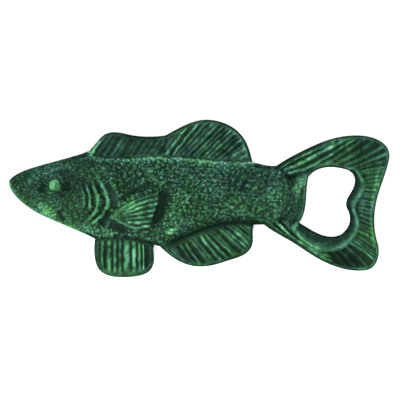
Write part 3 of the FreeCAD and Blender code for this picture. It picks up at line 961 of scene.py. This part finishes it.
def pad_plan(outline, spacing, rows):
    """Own triangulation of a small raised pad."""
    loop = resampled(outline, spacing)
    ids = list(range(len(loop)))
    free = {(min(a, b), max(a, b)) for a, b in edges_of(np.array(ids))}
    border = dense(loop, sorted(free), spacing / 4)
    inner = edge_rows(loop, [np.array(ids)], free, rows)
    inner = inner[nearest(inner[:, :2], border)[0] > 0.85 * inner[:, 2], :2]
    lattice = hexagonal(loop.min(0), loop.max(0), spacing)
    lattice = lattice[nearest(lattice, border)[0] > rows[-1] + 0.5 * spacing]
    places, faces, _ = triangulated(loop, [ids], np.vstack([inner, lattice]))
    used = np.unique(faces)
    local = np.full(len(places), -1)
    local[used] = np.arange(len(used))
    places = places[used]
    return places, local[faces], nearest(places, border)[0]


def pad_piece(node, side, p, faces, top, under, values):
    """Closed mesh of a raised pad, on the front (side 1) or mirrored on the back (-1)."""
    if side > 0:
        return closed_mesh(node + "_cast", p, faces, top, under, values)
    return closed_mesh(node + "_cast", p, faces, -under, -top, values)


# Rays of the pectoral fin: (path, width, paint).
PECTORAL_RAYS = (
    (((-35.0, -5.4), (-28.0, -0.8), (-22.0, 2.0), (-17.0, 2.8)), 1.3, 0.7),
    (((-33.0, -5.8), (-26.0, -2.2), (-17.6, 0.2)), 0.68, 0.8),
    (((-33.0, -6.6), (-26.0, -4.2), (-17.9, -2.1)), 0.72, 0.85),
    (((-32.0, -7.6), (-26.0, -6.2), (-18.6, -4.7)), 0.72, 0.8),
    (((-31.6, -9.0), (-26.0, -8.2), (-19.4, -7.2)), 0.7, 0.75),
    (((-35.4, -9.6), (-31.4, -11.4), (-27.0, -12.6), (-21.4, -12.0)), 0.75, 1.0),
    (((-31.0, -10.2), (-26.0, -10.4), (-20.2, -9.7)), 0.65, 0.7),
)


def pectoral_piece(side):
    """Raised pectoral fin: side 1 on the front, -1 on the back."""
    node = "front_pectoral_fin" if side > 0 else "back_pectoral_fin"
    p, faces, gap = pad_plan(pad_outline(node, side), 0.2, (0.07, 0.18, 0.36))
    floor = body_height(p) - 0.4
    share = np.clip((p[:, 0] - FIN_LOW[0]) / (FIN_HIGH[0] - FIN_LOW[0]), 0, 1)
    crest, shine = table_relief(p, PECTORAL_RAYS)
    fanned = smooth(share, 0.1, 0.35)
    skin = blobs(p, 0.95, SEED + 70)
    up = 0.5 + 1.0 * share + 0.6 * (crest - 0.45) * fanned + 0.15 * (1 - fanned) * skin
    t = np.clip(gap / 0.6, 0, 1)
    h = floor - 0.2 + (up + 0.2) * np.sqrt(np.clip(1 - (1 - t) ** 2, 0, 1))
    h += 0.02 * lattice_noise(p, 0.6, SEED + 5)
    h = np.minimum(h, HALF_T)
    paint = (1.15 * shine - 0.42) * fanned + 0.25 * (1 - fanned) + 0.55 * (skin - 0.4)
    light = coat(p, paint + 0.12, 0.3 * (crest - 0.4) * fanned, 2.0 * (1 - t) ** 2)
    values = {"paint": light, "green": np.clip(greenness(p) + 0.2 * (1 - share), 0, 1)}
    return pad_piece(node, side, p, faces, h, floor - 0.9, values)


def eye_piece(side):
    """Domed eye with an upright groove for its pupil."""
    node = "front_eye" if side > 0 else "back_eye"
    p, faces, _ = pad_plan(pad_outline(node, side), 0.16, (0.05, 0.15))
    x, y = (p - EYE).T
    r = np.hypot(x, y) / (EYE_R + 0.05)
    top = HALF_T - EYE_ROOM
    floor = body_height(p) - 0.9
    h = floor + (top - floor) * np.sqrt(np.clip(1 - r ** 2, 0, 1))
    slit = bell(x - 0.5, 0.35) * smooth(1 - np.abs(y) / (0.8 * EYE_R))
    h -= 0.3 * slit
    # Painted highlight on the upper left of the dome, and painted shade towards its lower right and
    # round its edge.
    light = 0.86 - 0.3 * smooth(x - 0.6 * y, -1.6, 2.4) - 0.2 * slit - 0.3 * smooth(r, 0.7, 1.0)
    light += 0.12 * lattice_noise(p, 0.7, SEED + 80)
    values = {"paint": light, "green": np.full(len(p), 0.7)}
    return pad_piece(node, side, p, faces, h, floor - 0.5, values)


# --------------------------------------------------------------- the materials

def linear(*rgb):
    """Linear colour from sRGB bytes."""
    c = np.array(rgb) / 255.0
    return (*np.where(c < 0.04045, c / 12.92, ((c + 0.055) / 1.055) ** 2.4), 1.0)


class Nodes:
    """Short way to build the node tree of a material or a world."""

    def __init__(self, owner):
        owner.use_nodes = True
        self.tree = owner.node_tree
        self.tree.nodes.clear()

    def add(self, kind, settings=None, **inputs):
        """New node. Its inputs go by socket name, or by number as in i0."""
        node = self.tree.nodes.new("ShaderNode" + kind)
        for key, value in (settings or {}).items():
            setattr(node, key, value)
        for key, value in inputs.items():
            socket = node.inputs[int(key[1:]) if key[1:].isdigit() else key.replace("_", " ")]
            if isinstance(value, bpy.types.NodeSocket):
                self.tree.links.new(value, socket)
            else:
                socket.default_value = value
        return node

    def value(self, name):
        """A number stored at each point."""
        return self.add("Attribute", {"attribute_name": name}).outputs["Fac"]

    def math(self, operation, a, b):
        return self.add("Math", {"operation": operation}, i0=a, i1=b).outputs[0]

    def noise(self, scale, detail, offset=0.0):
        """Noise over the object, with scale features to the metre."""
        place = self.add("TexCoord").outputs["Object"]
        moved = self.add("Mapping", Vector=place, Location=(offset, offset, offset))
        return self.add("TexNoise", Vector=moved.outputs[0], Scale=scale,
                        Detail=detail).outputs["Fac"]

    def mix(self, share, a, b):
        return self.add("Mix", {"data_type": "RGBA"}, i0=share, i6=a, i7=b).outputs[2]


# Paint from the bare dark coat to the palest dry brushing: (lightness, blue-green, grass green).
PAINTS = (
    (0.00, linear(3, 27, 17), linear(3, 28, 12)),
    (0.30, linear(27, 51, 43), linear(26, 56, 34)),
    (0.55, linear(51, 92, 77), linear(48, 97, 57)),
    (0.78, linear(84, 142, 117), linear(77, 146, 85)),
    (1.00, linear(138, 192, 162), linear(118, 190, 124)),
)


def verdigris_iron():
    """Dark base coat with two greens dry-brushed over whatever stands proud. The lightness it reads
    also holds the painted shade, shadows and highlights set in the relief.
    """
    material = bpy.data.materials.new("verdigris_cast_iron")
    n = Nodes(material)
    fine = n.noise(1500.0, detail=3.0)
    grit = n.noise(4200.0, detail=2.0, offset=5.3)
    light = n.math("ADD", n.value("paint"),
                   n.math("MULTIPLY", n.math("SUBTRACT", fine, 0.5), 0.34))
    colours = []
    for column in (1, 2):
        ramp = n.add("ValToRGB", Fac=light)
        stops = ramp.color_ramp.elements
        for i, stop in enumerate(PAINTS):
            element = stops[i] if i < 2 else stops.new(stop[0])
            element.position = stop[0]
            element.color = stop[column]
        colours.append(ramp.outputs[0])
    colour = n.mix(n.value("green"), colours[0], colours[1])
    rough = n.add("MapRange", Value=light, To_Min=0.55, To_Max=0.8).outputs[0]
    bump = n.add("Bump", Height=n.math("ADD", grit, fine), Strength=0.5, Distance=0.00008)
    shader = n.add("BsdfPrincipled", Base_Color=colour, Roughness=rough,
                   Normal=bump.outputs[0], Specular_IOR_Level=0.07)
    n.add("OutputMaterial", Surface=shader.outputs[0])
    return material


def dress(piece, node, material):
    """Gives a piece its finish and puts it in its CAD node's place."""
    piece.data.materials.append(material)
    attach(piece, "root")
    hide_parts(node)


IRON = verdigris_iron()
for name in REGIONS:
    dress(region_piece(name), name, IRON)
for side, word in ((1, "front"), (-1, "back")):
    dress(pectoral_piece(side), word + "_pectoral_fin", IRON)
    dress(eye_piece(side), word + "_eye", IRON)
for node in frame["nodes"].values():
    node.data.materials.clear()
    node.data.materials.append(IRON)


# ------------------------------------------------------ floor, light and camera

def floor_material():
    """Matt pale paint with a little glow, seen through from behind so that the underside shows."""
    material = bpy.data.materials.new("floor_paint")
    n = Nodes(material)
    paint = n.add("BsdfPrincipled", Base_Color=(0.9, 0.9, 0.9, 1.0), Roughness=0.9,
                  Emission_Color=(1.0, 1.0, 1.0, 1.0), Emission_Strength=0.75)
    behind = n.add("NewGeometry").outputs["Backfacing"]
    clear = n.add("BsdfTransparent")
    mixed = n.add("MixShader", i0=behind, i1=paint.outputs[0], i2=clear.outputs[0])
    n.add("OutputMaterial", Surface=mixed.outputs[0])
    return material


def floor():
    """Plain pale floor under the fish."""
    half = 6.0
    mesh = bpy.data.meshes.new("floor")
    mesh.from_pydata([(-half, -half, 0), (half, -half, 0), (half, half, 0), (-half, half, 0)],
                     [], [(0, 1, 2, 3)])
    mesh.materials.append(floor_material())
    piece = bpy.data.objects.new("floor", mesh)
    bpy.context.scene.collection.objects.link(piece)
    piece.visible_diffuse = False
    piece.visible_glossy = False


def soft_light(name, place, size, power):
    """Round area light that points at the origin."""
    data = bpy.data.lights.new(name, "AREA")
    data.shape = "DISK"
    data.size = size
    data.energy = power
    lamp = bpy.data.objects.new(name, data)
    lamp.location = place
    lamp.rotation_euler = (-Vector(place)).to_track_quat("-Z", "Y").to_euler()
    bpy.context.scene.collection.objects.link(lamp)


def studio_world():
    """White where the camera sees it, and dimmer as a light."""
    world = bpy.data.worlds.new("studio")
    n = Nodes(world)
    white = (1.0, 1.0, 1.0, 1.0)
    light = n.add("Background", Color=white, Strength=0.28)
    seen = n.add("Background", Color=white)
    to_camera = n.add("LightPath").outputs["Is Camera Ray"]
    either = n.add("MixShader", i0=to_camera, i1=light.outputs[0], i2=seen.outputs[0])
    n.add("OutputWorld", Surface=either.outputs[0])
    bpy.context.scene.world = world


def camera():
    """Camera that looks straight down at the front face."""
    view_width = 173.4 * MM     # what the frame spans at the parting plane
    distance = 0.62
    aim = (0.4 * MM, -0.65 * MM)
    data = bpy.data.cameras.new("camera")
    data.sensor_width = 36.0
    data.lens = data.sensor_width * distance / view_width
    data.clip_start = 0.01
    eye = bpy.data.objects.new("camera", data)
    eye.location = (*aim, MID * MM + distance)
    bpy.context.scene.collection.objects.link(eye)
    bpy.context.scene.camera = eye


floor()
soft_light("key", place=(-0.2, -0.26, 0.5), size=0.3, power=4.2)
soft_light("fill", place=(0.25, 0.2, 0.6), size=0.6, power=1.0)
studio_world()
bpy.context.scene.view_settings.view_transform = "Standard"
camera()
